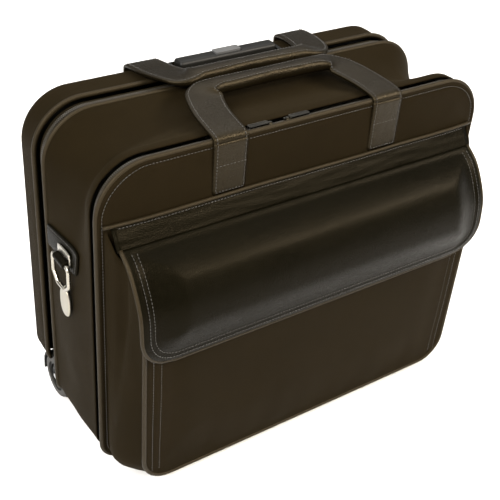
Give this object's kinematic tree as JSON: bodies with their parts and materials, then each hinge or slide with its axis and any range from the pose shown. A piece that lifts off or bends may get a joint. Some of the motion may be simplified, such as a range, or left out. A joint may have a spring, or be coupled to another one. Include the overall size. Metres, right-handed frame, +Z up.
{
  "type": "rolling laptop case",
  "caption": "Soft rolling laptop case with zipped rear and main sections, a front pocket under a padded leather flap, two leather carrying handles, wheels and a telescopic pull handle.",
  "frame": {"origin": "on the floor, under the middle of the closed case", "axes": "+X to the right along the width as seen from the front, +Y to the back, +Z up"},
  "size_m": [0.4588, 0.231, 0.3775],
  "materials": {
    "ballistic_cloth": "coarse woven",
    "black_leather": "smooth grain",
    "black_plastic": "satin",
    "button_plastic": "smooth",
    "edge_cord": "bound",
    "hook_tape": "looped pile",
    "lining": "woven",
    "nickel": "nickel plated",
    "steel": "turned",
    "tube_aluminium": "satin anodised",
    "tyre_rubber": "satin",
    "zip_tape": "woven"
  },
  "bodies": {
    "case": {"rear_shell": "ballistic_cloth", "rear_piping": "edge_cord", "rear_zip_half": "zip_tape", "rear_frame_sheet": "black_plastic", "base_rail": "black_plastic", "axles": "steel", "trolley_foot": "black_plastic", "trolley_bezel": "black_plastic", "trolley_tubes_outer": "tube_aluminium", "skid_strips": "black_plastic", "wheel_housing_left": "black_plastic", "wheel_housing_right": "black_plastic", "handle_tabs_rear": "black_leather"},
    "main_section": {"main_gusset": "ballistic_cloth", "main_piping": "edge_cord", "main_divider": "lining", "main_rear_zip_half": "zip_tape", "main_front_zip_half": "zip_tape", "main_stiffener": "black_plastic", "laptop_pad": "lining", "laptop_strap": "lining", "file_divider": "lining", "front_feet": "black_plastic", "side_tab_left": "black_leather", "side_tab_right": "black_leather"},
    "front_lid": {"front_panel": "ballistic_cloth", "front_piping": "edge_cord", "lid_zip_half": "zip_tape", "pocket_shell": "ballistic_cloth", "pocket_organiser": "lining", "flap_shelf": "black_leather", "pocket_loop_patch": "hook_tape", "handle_tabs_front": "black_leather"},
    "flap": {"flap_cover": "black_leather", "flap_hook_patch": "hook_tape"},
    "front_handle": {"front_handle_straps": "black_leather", "front_handle_grip": "black_leather"},
    "rear_handle": {"rear_handle_straps": "black_leather", "rear_handle_grip": "black_leather"},
    "wheel_left": {"tyre_left": "tyre_rubber", "hub_left": "black_plastic", "bearing_left": "steel"},
    "wheel_right": {"tyre_right": "tyre_rubber", "hub_right": "black_plastic", "bearing_right": "steel"},
    "trolley_lower": {"trolley_tubes_lower": "tube_aluminium"},
    "trolley_middle": {"trolley_tubes_middle": "tube_aluminium"},
    "trolley_upper": {"trolley_tubes_upper": "tube_aluminium", "trolley_grip": "black_plastic"},
    "release_button": {"release_button": "button_plastic"},
    "ring_left": {"side_ring_left": "nickel"},
    "ring_right": {"side_ring_right": "nickel"},
    "rear_slider_left": {"rear_slider_left": "nickel"},
    "rear_slider_left_pull": {"rear_slider_left_pull": "nickel"},
    "rear_slider_right": {"rear_slider_right": "nickel"},
    "rear_slider_right_pull": {"rear_slider_right_pull": "nickel"},
    "front_slider_left": {"front_slider_left": "nickel"},
    "front_slider_left_pull": {"front_slider_left_pull": "nickel"},
    "front_slider_right": {"front_slider_right": "nickel"},
    "front_slider_right_pull": {"front_slider_right_pull": "nickel"}
  },
  "joints": [
    {"name": "section_hinge", "type": "hinge", "parent": "case", "child": "main_section", "pos_m": [0, 0.0645, 0.01], "axis": [1, 0, 0], "range_deg": [0, 90]},
    {"name": "lid_hinge", "type": "hinge", "parent": "main_section", "child": "front_lid", "pos_m": [0, -0.0445, 0.01], "axis": [1, 0, 0], "range_deg": [0, 90]},
    {"name": "flap_hinge", "type": "hinge", "parent": "front_lid", "child": "flap", "pos_m": [0, -0.0685, 0.276], "axis": [-1, 0, 0], "range_deg": [0, 100]},
    {"name": "front_handle_hinge", "type": "hinge", "parent": "front_lid", "child": "front_handle", "pos_m": [0, -0.0575, 0.353], "axis": [1, 0, 0], "range_deg": [0, 140]},
    {"name": "rear_handle_hinge", "type": "hinge", "parent": "case", "child": "rear_handle", "pos_m": [0, 0.1135, 0.353], "axis": [-1, 0, 0], "range_deg": [0, 170]},
    {"name": "wheel_left_spin", "type": "hinge", "parent": "case", "child": "wheel_left", "pos_m": [-0.206, 0.0695, 0.025], "axis": [1, 0, 0], "continuous": true},
    {"name": "wheel_right_spin", "type": "hinge", "parent": "case", "child": "wheel_right", "pos_m": [0.206, 0.0695, 0.025], "axis": [1, 0, 0], "continuous": true},
    {"name": "trolley_lower_slide", "type": "slide", "parent": "case", "child": "trolley_lower", "axis": [0, 0, 1], "range_m": [0, 0.215]},
    {"name": "trolley_middle_slide", "type": "slide", "parent": "trolley_lower", "child": "trolley_middle", "axis": [0, 0, 1], "range_m": [0, 0.215]},
    {"name": "trolley_upper_slide", "type": "slide", "parent": "trolley_middle", "child": "trolley_upper", "axis": [0, 0, 1], "range_m": [0, 0.215]},
    {"name": "button_press", "type": "slide", "parent": "trolley_upper", "child": "release_button", "axis": [0, 0, -1], "range_m": [0, 0.004], "stiffness_N_per_m": 400},
    {"name": "ring_left_swing", "type": "hinge", "parent": "main_section", "child": "ring_left", "pos_m": [-0.2262, 0.0125, 0.222], "axis": [0, 1, 0], "range_deg": [0, 150]},
    {"name": "ring_right_swing", "type": "hinge", "parent": "main_section", "child": "ring_right", "pos_m": [0.2262, 0.0125, 0.222], "axis": [0, -1, 0], "range_deg": [0, 150]},
    {"name": "rear_slider_left_run", "type": "slide", "parent": "case", "child": "rear_slider_left", "axis": [-1, 0, 0], "range_m": [0, 0.135]},
    {"name": "rear_slider_left_pull_swing", "type": "hinge", "parent": "rear_slider_left", "child": "rear_slider_left_pull", "pos_m": [-0.0196, 0.0645, 0.3506], "axis": [0, 1, 0], "range_deg": [0, 150]},
    {"name": "rear_slider_right_run", "type": "slide", "parent": "case", "child": "rear_slider_right", "axis": [1, 0, 0], "range_m": [0, 0.14]},
    {"name": "rear_slider_right_pull_swing", "type": "hinge", "parent": "rear_slider_right", "child": "rear_slider_right_pull", "pos_m": [0.0116, 0.0645, 0.3506], "axis": [0, -1, 0], "range_deg": [0, 150]},
    {"name": "front_slider_left_run", "type": "slide", "parent": "main_section", "child": "front_slider_left", "axis": [-1, 0, 0], "range_m": [0, 0.11]},
    {"name": "front_slider_left_pull_swing", "type": "hinge", "parent": "front_slider_left", "child": "front_slider_left_pull", "pos_m": [-0.0436, -0.0445, 0.3506], "axis": [0, 1, 0], "range_deg": [0, 150]},
    {"name": "front_slider_right_run", "type": "slide", "parent": "main_section", "child": "front_slider_right", "axis": [1, 0, 0], "range_m": [0, 0.17]},
    {"name": "front_slider_right_pull_swing", "type": "hinge", "parent": "front_slider_right", "child": "front_slider_right_pull", "pos_m": [-0.0184, -0.0445, 0.3506], "axis": [0, -1, 0], "range_deg": [0, 150]}
  ]
}
